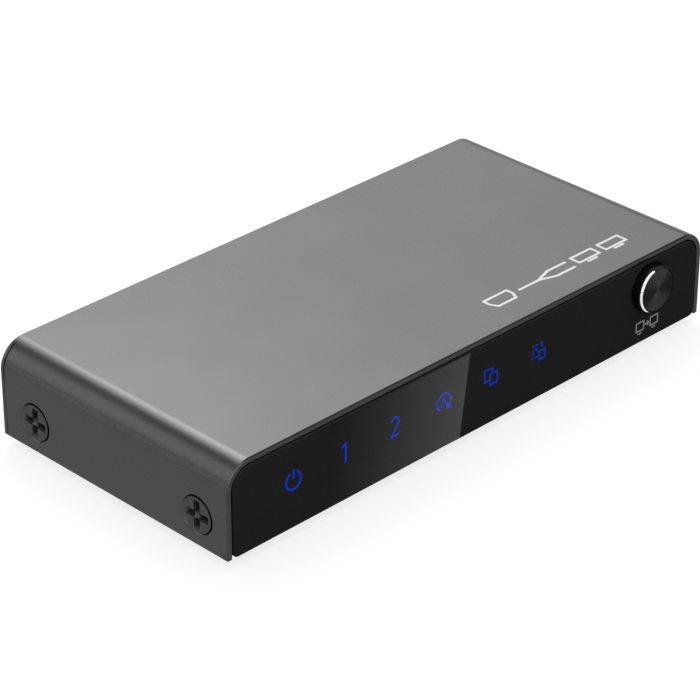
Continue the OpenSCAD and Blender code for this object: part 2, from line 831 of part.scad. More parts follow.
// A row of chip parts behind each socket
module chip_resistors() {
    color("#1f1f22") for (x = socket_x, k = [-1.5:1.5])
        on_board(x + k * chip_part_pitch, resistor_y) chip_part();
}

in_frame() top_cover();
in_frame() base_tray();
in_frame() cover_screws();
in_frame() rubber_feet();
in_frame() front_panel();
in_frame() panel_tape();
in_frame() lit_symbol(0);  // power_symbol
in_frame() lit_symbol(1);  // numeral_one
in_frame() lit_symbol(2);  // numeral_two
in_frame() lit_symbol(3);  // cycle_symbol
in_frame() lit_symbol(4);  // pages_symbol
in_frame() lit_symbol(5);  // dashed_pages_symbol
in_frame() light_baffle();
for (i = [0:icon_count - 1]) {
    in_frame() light_guide(i);
    in_frame() lamp(i);
}
in_frame() button_cap();
in_frame() button_ring();
in_frame() button_disc();
in_frame() switch_body();
in_frame() switch_plunger();
in_frame() circuit_board();
in_frame() board_standoffs();
in_frame() board_screws();
for (i = [0:2]) {
    in_frame() socket_shell(i);
    in_frame() socket_insulator(i);
    in_frame() socket_contacts(i);
}
in_frame() jack_body();
in_frame() jack_pin();
in_frame() jack_leaf();
in_frame() splitter_chip();
in_frame() thermal_pad();
in_frame() heat_sink();
in_frame() line_driver(1);  // line_driver_1
in_frame() line_driver(2);  // line_driver_2
in_frame() controller_chip();
in_frame() crystal();
in_frame() regulator_chip();
in_frame() power_coil();
in_frame() can_capacitors();
in_frame() chip_capacitors();
in_frame() chip_resistors();
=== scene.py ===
import math

import bpy
from mathutils import Matrix, Vector


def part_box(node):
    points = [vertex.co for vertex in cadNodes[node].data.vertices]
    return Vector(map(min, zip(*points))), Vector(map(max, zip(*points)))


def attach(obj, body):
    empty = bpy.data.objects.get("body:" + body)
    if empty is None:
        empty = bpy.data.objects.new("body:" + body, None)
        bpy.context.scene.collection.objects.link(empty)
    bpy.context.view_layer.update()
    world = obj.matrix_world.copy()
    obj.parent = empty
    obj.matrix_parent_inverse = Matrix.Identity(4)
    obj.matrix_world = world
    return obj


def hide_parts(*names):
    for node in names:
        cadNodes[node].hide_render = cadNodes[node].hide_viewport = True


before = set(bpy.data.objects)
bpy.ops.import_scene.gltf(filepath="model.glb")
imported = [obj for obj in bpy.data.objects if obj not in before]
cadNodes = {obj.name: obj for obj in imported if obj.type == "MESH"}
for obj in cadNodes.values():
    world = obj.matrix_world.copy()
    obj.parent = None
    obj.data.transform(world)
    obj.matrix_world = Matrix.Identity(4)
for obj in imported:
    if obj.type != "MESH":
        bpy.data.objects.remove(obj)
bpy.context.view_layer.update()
mm = 0.001
hair = 1e-6  # m, closer than this counts as touching
speck = 1e-9  # m, what rounding leaves


# Selecting and shaping

def leaveEdit():
    bpy.ops.object.mode_set(mode="OBJECT")


def dropSelection():
    if bpy.context.object and bpy.context.object.mode != "OBJECT":
        leaveEdit()
    bpy.ops.object.select_all(action="DESELECT")


def takeUp(piece):
    dropSelection()
    piece.select_set(True)
    bpy.context.view_layer.objects.active = piece
    return piece


def pick(piece, kind, wanted):  # leaves the piece in edit mode with what was wanted selected
    takeUp(piece)
    bpy.ops.object.mode_set(mode="EDIT")
    bpy.ops.mesh.select_mode(type=kind)
    bpy.ops.mesh.select_all(action="DESELECT")
    leaveEdit()
    mesh = piece.data
    if kind == "FACE":
        for face in mesh.polygons:
            face.select = wanted(face.center, face.normal)
    elif kind == "EDGE":
        for edge in mesh.edges:
            a, b = (mesh.vertices[i].co for i in edge.vertices)
            edge.select = wanted(a, b)
    else:
        for vertex in mesh.vertices:
            vertex.select = wanted(vertex.co)
    bpy.ops.object.mode_set(mode="EDIT")


def pickAll(piece):
    takeUp(piece)
    bpy.ops.object.mode_set(mode="EDIT")
    bpy.ops.mesh.select_all(action="SELECT")


ways = {"right": (1, 0, 0), "front": (0, -1, 0), "back": (0, 1, 0), "down": (0, 0, -1)}


def facing(*names, least=0.9):  # for pick: the faces that look one of these ways
    return lambda centre, normal: any(normal.dot(Vector(ways[name])) > least for name in names)


def pull(*way):  # extrudes what is picked
    bpy.ops.mesh.extrude_region_move(TRANSFORM_OT_translate={"value": way})


def roundOff(width, steps):  # the edges that are picked
    bpy.ops.mesh.bevel(offset=width, segments=steps, affect="EDGES")


def settle(piece):  # the place goes into the mesh and the object to the origin
    takeUp(piece)
    bpy.ops.object.transform_apply(location=True, rotation=True, scale=True)
    return piece


def applyModifier(piece, kind, **settings):
    takeUp(piece)
    modifier = piece.modifiers.new(kind.lower(), kind)
    for name, value in settings.items():
        setattr(modifier, name, value)
    bpy.ops.object.modifier_apply(modifier=modifier.name)


def addBlock(name, low, high):
    dropSelection()
    low, high = Vector(low), Vector(high)
    bpy.ops.mesh.primitive_cube_add(size=1, location=(low + high) / 2)
    block = bpy.context.object
    block.name = name
    block.scale = high - low
    return settle(block)


axisTurn = {"X": (0, math.pi / 2, 0), "Y": (-math.pi / 2, 0, 0), "Z": (0, 0, 0)}


def addRound(name, centre, axis, length, radius, tipRadius=None, sides=64):  # a cone when the tip differs
    dropSelection()
    tip = radius if tipRadius is None else tipRadius
    bpy.ops.mesh.primitive_cone_add(vertices=sides, radius1=radius, radius2=tip, depth=length,
                                    location=centre, rotation=axisTurn[axis])
    turned = bpy.context.object
    turned.name = name
    return settle(turned)


def cutAway(piece, *cutters):
    for cutter in cutters:
        applyModifier(piece, "BOOLEAN", operation="DIFFERENCE", solver="EXACT", object=cutter)
        bpy.data.objects.remove(cutter, do_unlink=True)


def duplicate(piece, name, place=None):
    twin = piece.copy()
    twin.data = piece.data.copy()
    twin.name = name
    bpy.context.collection.objects.link(twin)
    if place is not None:
        twin.data.transform(place)
    return twin


def joinUp(name, parts):
    takeUp(parts[0])
    for part in parts:
        part.select_set(True)
    bpy.ops.object.join()
    parts[0].name = name
    return parts[0]


def copyNode(nodeName, name):  # a merged copy of a CAD node, its flat faces made whole again
    twin = duplicate(cadNodes[nodeName], name)
    twin.parent = None
    for key in [key for key in twin.keys() if key.startswith("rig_")]:
        del twin[key]
    twin.data.materials.clear()
    pickAll(twin)
    bpy.ops.mesh.remove_doubles(threshold=hair)
    bpy.ops.mesh.dissolve_limited(angle_limit=math.radians(0.4))
    leaveEdit()
    return twin


def easeEdges(piece, width, steps=2, angle=35):
    applyModifier(piece, "BEVEL", width=width, segments=steps, limit_method="ANGLE",
                  angle_limit=math.radians(angle), use_clamp_overlap=True)


def smoothOver(piece, angle=40, weighted=True):
    takeUp(piece)
    bpy.ops.object.shade_smooth_by_angle(angle=math.radians(angle))
    if weighted:
        applyModifier(piece, "WEIGHTED_NORMAL", keep_sharp=True, weight=60)


def keepFlat(piece, way):  # the flat faces that look this way mirror without a ripple
    pick(piece, "FACE", facing(way, least=0.9999))
    bpy.ops.mesh.faces_shade_flat()
    leaveEdit()


def fit(piece, body, slot, *nodeNames):  # its finish, its body and the nodes it stands for
    dropSelection()
    piece.data.materials.clear()
    piece.data.materials.append(finishes[slot])
    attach(piece, body)
    if nodeNames:
        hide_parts(*nodeNames)
    return piece


# Camera

cameraSpec = {
    "azimuth": -44.86, "elevation": 29.68,  # degrees
    "distance": 457.5, "target": (0, 0.8, 9.5),  # mm
    "slide": -1.9, "lift": -3.82,  # mm across and up the picture
    "focalPixels": 3052, "pictureWidth": 700, "sensor": 36,
    "clip": (0.01, 50),  # m
}


def placeCamera(spec):
    azimuth, elevation = math.radians(spec["azimuth"]), math.radians(spec["elevation"])
    back = Vector((math.sin(azimuth) * math.cos(elevation),
                   -math.cos(azimuth) * math.cos(elevation), math.sin(elevation)))
    right = (-back).cross(Vector((0, 0, 1))).normalized()
    up = back.cross(right)
    eye = (Vector(spec["target"]) + right * spec["slide"] + up * spec["lift"] + back * spec["distance"]) * mm
    lens = bpy.data.cameras.new("photoCamera")
    lens.sensor_width = spec["sensor"]
    lens.lens = spec["focalPixels"] / spec["pictureWidth"] * spec["sensor"]
    lens.clip_start, lens.clip_end = spec["clip"]
    camera = bpy.data.objects.new("photoCamera", lens)
    bpy.context.scene.collection.objects.link(camera)
    turn = Matrix((right, up, back)).transposed().to_4x4()
    camera.matrix_world = Matrix.Translation(eye) @ turn
    bpy.context.scene.camera = camera
    return eye


eye = placeCamera(cameraSpec)
print("camera: placed")


# Floor, lights and what the metal mirrors

bpy.context.scene.view_settings.view_transform = "Standard"


def link(value, socket):  # a socket knows its own node tree
    value.id_data.links.new(value, socket)


def calc(operation, first, second=None):  # a Math node on sockets or plain numbers
    node = first.id_data.nodes.new("ShaderNodeMath")
    node.operation = operation
    for socket, value in zip(node.inputs, (first, second)):
        if isinstance(value, bpy.types.NodeSocket):
            link(value, socket)
        elif value is not None:
            socket.default_value = value
    return node.outputs[0]


def splitUp(place):  # the x, y and z of a place
    part = place.id_data.nodes.new("ShaderNodeSeparateXYZ")
    link(place, part.inputs[0])
    return part.outputs


def backgroundRays(tree):  # 1 for camera, glossy and transmission rays
    path = tree.nodes.new("ShaderNodeLightPath").outputs
    seen = calc("MAXIMUM", path["Is Camera Ray"], path["Is Glossy Ray"])
    return calc("MAXIMUM", seen, path["Is Transmission Ray"])


worldSpec = {"ambient": 0.86, "white": 1.0}  # strengths


def paintWorld(spec):
    world = bpy.data.worlds.new("studio")
    bpy.context.scene.world = world
    world.use_nodes = True
    tree = world.node_tree
    background = tree.nodes["Background"]
    background.inputs["Color"].default_value = (1, 1, 1, 1)
    level = tree.nodes.new("ShaderNodeMapRange")
    level.inputs["To Min"].default_value = spec["ambient"]
    level.inputs["To Max"].default_value = spec["white"]
    link(backgroundRays(tree), level.inputs["Value"])
    link(level.outputs["Result"], background.inputs["Strength"])
    world.cycles_visibility.glossy = False  # the reflection tent stands in its place


floorSpec = {"size": 8, "paint": 0.3, "glow": 0.77}  # m, then shares of white


def layFloor(spec):
    dropSelection()
    bpy.ops.mesh.primitive_plane_add(size=spec["size"])
    floor = bpy.context.object
    floor.name = "floor"
    paint = bpy.data.materials.new("floorWhite")
    paint.use_nodes = True
    tree = paint.node_tree
    shader = tree.nodes["Principled BSDF"]
    shader.inputs["Base Color"].default_value = (spec["paint"],) * 3 + (1,)
    shader.inputs["Roughness"].default_value = 1
    shader.inputs["Specular IOR Level"].default_value = 0
    shader.inputs["Emission Color"].default_value = (1, 1, 1, 1)
    glow = calc("MULTIPLY", backgroundRays(tree), spec["glow"])
    link(glow, shader.inputs["Emission Strength"])
    floor.data.materials.append(paint)


def onlyMirrored(card):  # shows in gloss and metal, and nowhere else
    card.visible_camera = False
    card.visible_diffuse = False
    card.visible_shadow = False
    card.visible_transmission = False


def glowing(name):
    paint = bpy.data.materials.new(name)
    paint.use_nodes = True
    tree = paint.node_tree
    tree.nodes.remove(tree.nodes["Principled BSDF"])
    glow = tree.nodes.new("ShaderNodeEmission")
    link(glow.outputs[0], tree.nodes["Material Output"].inputs["Surface"])
    return paint, glow


tentSpec = {
    "radius": 0.6, "segments": 48,  # m
    "dusk": 0.172,
    "lobes": (  # direction, degrees of full and no light, strength
        {"to": (0.25, 0.52, 0.82), "inner": 2.5, "outer": 22, "strength": 1.14},  # high, behind the part
        {"to": (0.54, 0.61, 0.57), "inner": 13, "outer": 26.5, "strength": 0.66},  # over the top face
        {"to": (0.37, 0.65, 0.67), "inner": 1.5, "outer": 12, "strength": 0.74},  # the line along the bend
        {"to": (-0.66, 0.59, 0.46), "inner": 10.5, "outer": 25.5, "strength": 0.27},  # low on the bend
        {"to": (0.79, 0.6, 0.1), "inner": 5, "outer": 17, "strength": 0.22},  # the far bend
        {"to": (0.66, -0.7, 0.26), "inner": 10, "outer": 30, "strength": 0.1},  # ahead and right
        {"to": (-0.1, -0.9, 0.42), "inner": 12, "outer": 32, "strength": 0.45},  # ahead
        {"to": (-0.72, -0.55, 0.42), "inner": 12, "outer": 38, "strength": 0.4},  # ahead and left
    ),
}


def pitchTent(spec):
    dropSelection()
    bpy.ops.mesh.primitive_uv_sphere_add(segments=spec["segments"], ring_count=spec["segments"] // 2,
                                         radius=spec["radius"])
    tent = bpy.context.object
    tent.name = "reflectionTent"
    paint, glow = glowing("tentGlow")
    tree = paint.node_tree
    place = tree.nodes.new("ShaderNodeTexCoord")
    aim = tree.nodes.new("ShaderNodeVectorMath")
    aim.operation = "NORMALIZE"
    link(place.outputs["Object"], aim.inputs[0])
    total = spec["dusk"]
    for lobe in spec["lobes"]:
        towards = tree.nodes.new("ShaderNodeVectorMath")
        towards.operation = "DOT_PRODUCT"
        towards.inputs[1].default_value = Vector(lobe["to"]).normalized()
        link(aim.outputs[0], towards.inputs[0])
        fall = tree.nodes.new("ShaderNodeMapRange")
        fall.interpolation_type = "SMOOTHSTEP"
        fall.inputs["From Min"].default_value = math.cos(math.radians(lobe["outer"]))
        fall.inputs["From Max"].default_value = math.cos(math.radians(lobe["inner"]))
        fall.inputs["To Max"].default_value = lobe["strength"]
        link(towards.outputs["Value"], fall.inputs["Value"])
        total = calc("ADD", fall.outputs["Result"], total)
    link(total, glow.inputs["Strength"])
    tent.data.materials.append(paint)
    onlyMirrored(tent)
    return tent


floorCardSpec = {
    "reach": 300, "height": 0.3, "behindFace": 3,  # mm
    "left": 0.25, "front": 0.185, "back": 0.5,  # shades of the floor in reflections
}


def layCard(name, corners, height, level):
    mesh = bpy.data.meshes.new(name)
    mesh.from_pydata([(c[0], c[1], height) for c in corners], [], [tuple(range(len(corners)))])
    card = bpy.data.objects.new(name, mesh)
    bpy.context.scene.collection.objects.link(card)
    paint, glow = glowing(name + "Glow")
    glow.inputs["Strength"].default_value = level
    mesh.materials.append(paint)
    onlyMirrored(card)
    return card


def layFloorCards(spec):
    reach = spec["reach"] * mm
    height = spec["height"] * mm
    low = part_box("top_cover")[0]
    ahead = low.y + spec["behindFace"] * mm
    areas = {"front": (-reach, -reach, reach, ahead), "left": (-reach, ahead, low.x, reach),
             "back": (low.x, ahead, reach, reach)}
    cards = {}
    for name, (x0, y0, x1, y1) in areas.items():
        corners = [(x0, y0), (x1, y0), (x1, y1), (x0, y1)]
        cards[name] = layCard(name + "Card", corners, height, spec[name])
    return cards


def hangLamp(name, place, aim, wide, tall, level):  # level is the brightness of its face
    light = bpy.data.lights.new(name, "AREA")
    light.shape = "RECTANGLE"
    light.size = wide
    light.size_y = tall
    light.energy = math.pi * wide * tall * level
    lamp = bpy.data.objects.new(name, light)
    bpy.context.scene.collection.objects.link(lamp)
    lamp.location = place
    lamp.rotation_euler = (Vector(aim) - Vector(place)).to_track_quat("-Z", "Y").to_euler()
    lamp.visible_camera = False
    return lamp


glareSpec = {"high": (-2.1, 15.4), "low": (-4.0, 1.6),  # the glare's sharp edge on the panel, x and z in mm
             "width": 18.4, "over": 24, "height": 0.6, "level": 2.0, "rise": 1.4}


def mirroredOnFloor(x, z, panelY):  # where the camera sees the floor in the panel
    point = Vector((x * mm, panelY, z * mm))
    ray = point - eye
    ray.y = -ray.y
    return point + ray * (-point.z / ray.z)


def hangGlare(spec):  # lies on the floor, faces up and grows brighter to its sharp edge
    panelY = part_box("front_panel")[0].y
    far = mirroredOnFloor(*spec["high"], panelY)
    near = mirroredOnFloor(*spec["low"], panelY)
    along = (far - near).normalized()
    down = Vector((0, 0, -1))
    across = along.cross(down)
    length = (far - near).length + 2 * spec["over"] * mm
    middle = (far + near) / 2 - across * spec["width"] / 2 * mm - down * spec["height"] * mm
    lamp = hangLamp("panelGlare", middle, middle - down, spec["width"] * mm, length, spec["level"])
    lamp.matrix_world = Matrix.Translation(middle) @ Matrix((across, along, down)).transposed().to_4x4()
    lamp.visible_diffuse = False
    lamp.data.use_nodes = True
    tree = lamp.data.node_tree
    part = splitUp(tree.nodes.new("ShaderNodeNewGeometry").outputs["Parametric"])
    rise = calc("POWER", part["X"], spec["rise"])
    link(rise, tree.nodes["Emission"].inputs["Strength"])
    return lamp


def shareLight(source, pieces, state):  # INCLUDE: only these pieces see it, EXCLUDE: all but these do
    group = bpy.data.collections.new(source.name + "Pieces")
    for piece in pieces:
        group.objects.link(piece)
    for entry in group.collection_objects:
        entry.light_linking.link_state = state
    source.light_linking.receiver_collection = group


keyLampSpec = {"place": (0.35, 0.45, 0.75), "aim": (0, 0, 0.008), "wide": 0.5, "tall": 0.5, "level": 3}  # m

paintWorld(worldSpec)
layFloor(floorSpec)
tent = pitchTent(tentSpec)
floorCards = layFloorCards(floorCardSpec)
keyLamp = hangLamp("keyLamp", **keyLampSpec)
keyLamp.visible_glossy = False
panelGlare = hangGlare(glareSpec)
print("stage: floor, tent, cards and lamps")


# Finishes

def shade(tone):  # a grey level or a colour, 0 to 255 in the picture, to linear light
    values = tone if isinstance(tone, tuple) else (tone,) * 3
    return tuple((v / 255 / 12.92) if v <= 10 else ((v / 255 + 0.055) / 1.055) ** 2.4 for v in values) + (1,)


def startFinish(name, spec):
    finish = bpy.data.materials.new(name)
    finish.use_nodes = True
    tree = finish.node_tree
    shader = tree.nodes["Principled BSDF"]
    shader.inputs["Metallic"].default_value = spec.get("metal", 0)
    shader.inputs["IOR"].default_value = spec.get("ior", 1.5)
    place = tree.nodes.new("ShaderNodeTexCoord").outputs["Object"]
    return finish, shader, place


def speckle(place, grain, detail=3, stretch=None):  # noise whose blots are grain mm wide
    if stretch:
        mapping = place.id_data.nodes.new("ShaderNodeMapping")
        mapping.inputs["Scale"].default_value = stretch
        link(place, mapping.inputs["Vector"])
        place = mapping.outputs["Vector"]
    noise = place.id_data.nodes.new("ShaderNodeTexNoise")
    noise.inputs["Scale"].default_value = 1 / (grain * mm)
    noise.inputs["Detail"].default_value = detail
    link(place, noise.inputs["Vector"])
    return noise.outputs["Fac"]


def span(value, low, high, fromLow=0.3, fromHigh=0.7):
    mapped = value.id_data.nodes.new("ShaderNodeMapRange")
    mapped.inputs["From Min"].default_value = fromLow
    mapped.inputs["From Max"].default_value = fromHigh
    mapped.inputs["To Min"].default_value = low
    mapped.inputs["To Max"].default_value = high
    link(value, mapped.inputs["Value"])
    return mapped.outputs["Result"]


def blendTint(value, dark, light):
    mix = value.id_data.nodes.new("ShaderNodeMix")
    mix.data_type = "RGBA"
    mix.inputs["A"].default_value = shade(dark)
    mix.inputs["B"].default_value = shade(light)
    link(value, mix.inputs["Factor"])
    return mix.outputs["Result"]


def relief(shader, value, depth):
    bump = shader.id_data.nodes.new("ShaderNodeBump")
    bump.inputs["Distance"].default_value = depth * mm
    link(value, bump.inputs["Height"])
    link(bump.outputs["Normal"], shader.inputs["Normal"])


def grained(name, spec):  # a fine grain for relief and gloss, slow blots for the colour
    finish, shader, place = startFinish(name, spec)
    fine = speckle(place, spec["grain"], 3, spec.get("stretch"))
    slow = speckle(place, spec.get("blots", 14), 2)
    tint = blendTint(span(slow, 0, 1), *spec["tones"])
    link(tint, shader.inputs["Base Color"])
    link(span(fine, *spec["rough"]), shader.inputs["Roughness"])
    relief(shader, fine, spec["depth"])
    return finish


finishSpecs = {  # picture levels, roughness, grain, relief and blots in mm
    "cover_grey": {"tones": ((140, 140, 141), (144, 144, 145)), "metal": 1, "rough": (0.265, 0.305),
                   "grain": 0.16, "depth": 0.0012},
    "tray_grey": {"tones": ((88, 88, 90), (94, 94, 96)), "metal": 0.6, "rough": (0.42, 0.52),
                  "grain": 0.2, "depth": 0.004},
    "foot_rubber": {"tones": (24, 31), "rough": (0.75, 0.9), "grain": 0.25, "depth": 0.012},
    "tape_black": {"tones": (42, 50), "rough": (0.7, 0.85), "grain": 0.3, "depth": 0.01},
    "baffle_black": {"tones": (30, 36), "rough": (0.55, 0.7), "grain": 0.2, "depth": 0.006},
    "lamp_white": {"tones": ((228, 226, 214), (240, 238, 230)), "rough": (0.3, 0.4), "grain": 0.2,
                   "depth": 0.002, "blots": 1},
    "button_black": {"tones": (9, 12), "rough": (0.28, 0.36), "grain": 0.12, "depth": 0.002},
    "ring_chrome": {"tones": ((236, 237, 240), (243, 244, 246)), "metal": 1, "rough": (0.08, 0.12),
                    "grain": 0.3, "depth": 0.0004, "blots": 2},
    "switch_black": {"tones": (30, 36), "rough": (0.45, 0.6), "grain": 0.2, "depth": 0.005},
    "plunger_white": {"tones": ((208, 207, 200), (219, 218, 212)), "rough": (0.4, 0.5), "grain": 0.2,
                      "depth": 0.003, "blots": 3},
    "standoff_brass": {"tones": ((196, 168, 96), (212, 186, 116)), "metal": 1, "rough": (0.25, 0.35),
                       "grain": 0.3, "depth": 0.002, "stretch": (1, 1, 6), "blots": 2},
    "screw_steel": {"tones": ((186, 187, 190), (200, 201, 204)), "metal": 1, "rough": (0.24, 0.34),
                    "grain": 0.2, "depth": 0.002, "blots": 3},
    "shell_nickel": {"tones": ((184, 185, 188), (200, 201, 204)), "metal": 1, "rough": (0.2, 0.3),
                     "grain": 0.25, "depth": 0.0015, "stretch": (1, 0.15, 1), "blots": 4},
    "insulator_black": {"tones": (20, 26), "rough": (0.45, 0.55), "grain": 0.2, "depth": 0.004},
    "contact_gold": {"tones": ((214, 170, 82), (230, 190, 104)), "metal": 1, "rough": (0.2, 0.28),
                     "grain": 0.2, "depth": 0.001, "blots": 2},
    "jack_black": {"tones": (21, 27), "rough": (0.4, 0.5), "grain": 0.18, "depth": 0.004},
    "pin_nickel": {"tones": ((196, 197, 200), (210, 211, 214)), "metal": 1, "rough": (0.16, 0.22),
                   "grain": 0.2, "depth": 0.001, "blots": 2},
    "leaf_brass": {"tones": ((200, 160, 84), (216, 180, 104)), "metal": 1, "rough": (0.25, 0.34),
                   "grain": 0.2, "depth": 0.001, "blots": 2},
    "chip_black": {"tones": (22, 29), "rough": (0.55, 0.68), "grain": 0.15, "depth": 0.006},
    "pad_grey": {"tones": ((140, 152, 168), (152, 164, 180)), "rough": (0.7, 0.8), "grain": 0.3,
                 "depth": 0.008, "blots": 3},
    "sink_black": {"tones": ((44, 45, 48), (54, 55, 58)), "metal": 0.7, "rough": (0.42, 0.52),
                   "grain": 0.18, "depth": 0.003},
    "can_metal": {"tones": ((186, 188, 192), (200, 202, 206)), "metal": 1, "rough": (0.26, 0.34),
                  "grain": 0.25, "depth": 0.001, "stretch": (1, 1, 5), "blots": 3},
    "crystal_metal": {"tones": ((190, 192, 196), (204, 206, 210)), "metal": 1, "rough": (0.22, 0.3),
                      "grain": 0.3, "depth": 0.001, "stretch": (6, 1, 1), "blots": 2},
    "coil_grey": {"tones": (60, 70), "rough": (0.55, 0.65), "grain": 0.2, "depth": 0.006},
    "ceramic_tan": {"tones": ((166, 134, 88), (186, 152, 104)), "rough": (0.4, 0.5), "grain": 0.15,
                    "depth": 0.002, "blots": 2},
    "resistor_black": {"tones": (28, 36), "rough": (0.3, 0.4), "grain": 0.15, "depth": 0.002,
                       "blots": 2},
    "print_pale": {"tones": (222, 232), "rough": (0.45, 0.55), "grain": 0.12, "depth": 0.001},
    "print_grey": {"tones": (158, 168), "rough": (0.4, 0.5), "grain": 0.12, "depth": 0.001},
}
finishes = {slot: grained(slot, spec) for slot, spec in finishSpecs.items()}


# painted shade: these tints darken the cover's rounded front edge and a fine line near its rear edge
frontEdgeShadeSpec = {"tint": (86, 86, 87), "full": 0.1, "end": 0.26}  # mm from the front and the top
rearShadeLineSpec = {"tint": (56, 56, 57), "near": 0.72, "far": 0.94, "soft": 0.06,  # mm from the rear edge
                "below": 0.6, "bend": 4.6, "leg": 7, "faint": 0.5}  # mm below the top, strength on the leg


def product(*values):  # of sockets
    total = values[0]
    for value in values[1:]:
        total = calc("MULTIPLY", total, value)
    return total


def tintOver(amount, tint):  # lays a tint over the colour that the finish has so far
    tree = amount.id_data
    shader = tree.nodes["Principled BSDF"]
    mix = tree.nodes.new("ShaderNodeMix")
    mix.data_type = "RGBA"
    link(amount, mix.inputs["Factor"])
    link(shader.inputs["Base Color"].links[0].from_socket, mix.inputs["A"])
    mix.inputs["B"].default_value = shade(tint)
    link(mix.outputs["Result"], shader.inputs["Base Color"])


def paintEdgeShade(finish, front, rear):  # painted shade on the cover: a dark line along the rounded front edge and a fine dark line near the rear edge
    low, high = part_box("top_cover")
    part = splitUp(finish.node_tree.nodes.new("ShaderNodeTexCoord").outputs["Object"])
    along, up = part["Y"], part["Z"]
    full, end = front["full"] * mm, front["end"] * mm
    ahead = span(along, 1, 0, low.y + full, low.y + end)
    above = span(up, 0, 1, high.z - end, high.z - full)
    tintOver(product(ahead, above), front["tint"])
    near, far, soft = rear["near"] * mm, rear["far"] * mm, rear["soft"] * mm
    onto = span(along, 0, 1, high.y - far - soft, high.y - far)
    off = span(along, 1, 0, high.y - near, high.y - near + soft)
    under = span(up, 1, 0, high.z - rear["below"] * mm, high.z - rear["below"] / 2 * mm)
    weaker = span(up, rear["faint"], 1, high.z - rear["leg"] * mm, high.z - rear["bend"] * mm)
    tintOver(product(onto, off, under, weaker), rear["tint"])


# paints the edge shade lines into the cover's colour
paintEdgeShade(finishes["cover_grey"], frontEdgeShadeSpec, rearShadeLineSpec)


acrylic = {"ior": 1.49}  # the panel, its symbols and the light guides
panelGlossSpec = {"tones": (40, 42), "rough": (0.025, 0.05), "smear": 22, "dust": 0.5,
                  "mirror": 0.12, "wave": 40, "waveDepth": 0.003}


def panelGloss(spec):  # black acrylic: a mirror with faint smears and a slow ripple
    finish, shader, place = startFinish("panel_black", acrylic)
    smear = speckle(place, spec["smear"], 4)
    dust = speckle(place, spec["dust"], 2)
    tint = blendTint(span(dust, 0, 1), *spec["tones"])
    link(tint, shader.inputs["Base Color"])
    link(span(smear, *spec["rough"]), shader.inputs["Roughness"])
    shader.inputs["Specular IOR Level"].default_value = spec["mirror"]
    relief(shader, speckle(place, spec["wave"], 0), spec["waveDepth"])
    return finish


# the recess tone is painted shade: the cross is painted dark where shade falls in it
screwMetalSpec = {"face": (134, 134, 135), "recess": (46, 46, 47), "rough": (0.27, 0.33),
                  "grain": 0.12, "depth": 0.001, "shallow": 0.1, "deep": 0.4}  # mm below the head's face


def screwMetal(spec):  # painted shade: the recess is painted darker and duller than the head, as shade in the cross
    finish, shader, place = startFinish("screw_dark", {})
    aside = calc("ABSOLUTE", splitUp(place)["X"])
    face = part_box("cover_screws")[1].x
    shallow, deep = face - spec["shallow"] * mm, face - spec["deep"] * mm
    link(span(aside, 0, 1, deep, shallow), shader.inputs["Metallic"])
    recessShadeMask = span(aside, 1, 0, deep, shallow)
    link(blendTint(recessShadeMask, spec["face"], spec["recess"]), shader.inputs["Base Color"])
    fine = speckle(place, spec["grain"], 3)
    link(span(fine, *spec["rough"]), shader.inputs["Roughness"])
    relief(shader, fine, spec["depth"])
    return finish


symbolSpec = {"lit": (30, 64, 218), "rim": (22, 52, 194), "base": (4, 5, 12),
              "strength": 0.66, "grain": 0.35, "rough": (0.03, 0.06)}


def symbolLight(spec):  # blue light through the panel, a little uneven, under the same gloss
    finish, shader, place = startFinish("symbol_blue", acrylic)
    uneven = speckle(place, spec["grain"], 2)
    glow = blendTint(span(uneven, 0, 1), spec["rim"], spec["lit"])
    shader.inputs["Base Color"].default_value = shade(spec["base"])
    link(span(uneven, *spec["rough"]), shader.inputs["Roughness"])
    shader.inputs["Specular IOR Level"].default_value = panelGlossSpec["mirror"]
    link(glow, shader.inputs["Emission Color"])
    shader.inputs["Emission Strength"].default_value = spec["strength"]
    return finish


discSpec = {"tones": ((60, 60, 62), (67, 67, 69)), "rough": 0.28, "stretch": 1.0,
            "grooves": 0.11, "depth": 0.0004, "blots": 0.3}  # mm


def discSpun(spec):  # turned metal: light spreads across the circular grooves
    finish, shader, place = startFinish("disc_spun", {"metal": 1})
    tree = finish.node_tree
    low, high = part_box("button_disc")
    middle = (low + high) / 2
    fromAxis = tree.nodes.new("ShaderNodeVectorMath")
    fromAxis.operation = "DISTANCE"
    flat = tree.nodes.new("ShaderNodeMapping")
    flat.inputs["Location"].default_value = (-middle.x, 0, -middle.z)
    flat.inputs["Scale"].default_value = (1, 0, 1)
    link(place, flat.inputs["Vector"])
    link(flat.outputs[0], fromAxis.inputs[0])
    turns = calc("MULTIPLY", fromAxis.outputs["Value"], 2 * math.pi / (spec["grooves"] * mm))
    blots = speckle(flat.outputs[0], spec["blots"], 2)
    tint = blendTint(span(blots, 0, 1), *spec["tones"])
    link(tint, shader.inputs["Base Color"])
    shader.inputs["Roughness"].default_value = spec["rough"]
    shader.inputs["Anisotropic"].default_value = spec["stretch"]
    tangent = tree.nodes.new("ShaderNodeTangent")
    tangent.direction_type = "UV_MAP"
    tangent.uv_map = "spin"
    link(tangent.outputs[0], shader.inputs["Tangent"])
    relief(shader, calc("SINE", turns), spec["depth"])
    return finish


guideSpec = {"tint": (232, 238, 244), "rough": (0.04, 0.09), "grain": 0.8, "clear": 0.9, "depth": 0.002}


def guideClear(spec):
    finish, shader, place = startFinish("guide_clear", acrylic)
    shader.inputs["Base Color"].default_value = shade(spec["tint"])
    shader.inputs["Transmission Weight"].default_value = spec["clear"]
    haze = speckle(place, spec["grain"], 2)
    link(span(haze, *spec["rough"]), shader.inputs["Roughness"])
    relief(shader, haze, spec["depth"])
    return finish


boardSpec = {"mask": (16, 74, 44), "trace": (34, 104, 62), "pitch": 1.27, "cell": 3, "run": 0.12,
             "edge": (0.07, 0.08), "rough": (0.28, 0.4), "grain": 0.4, "depth": 0.03}


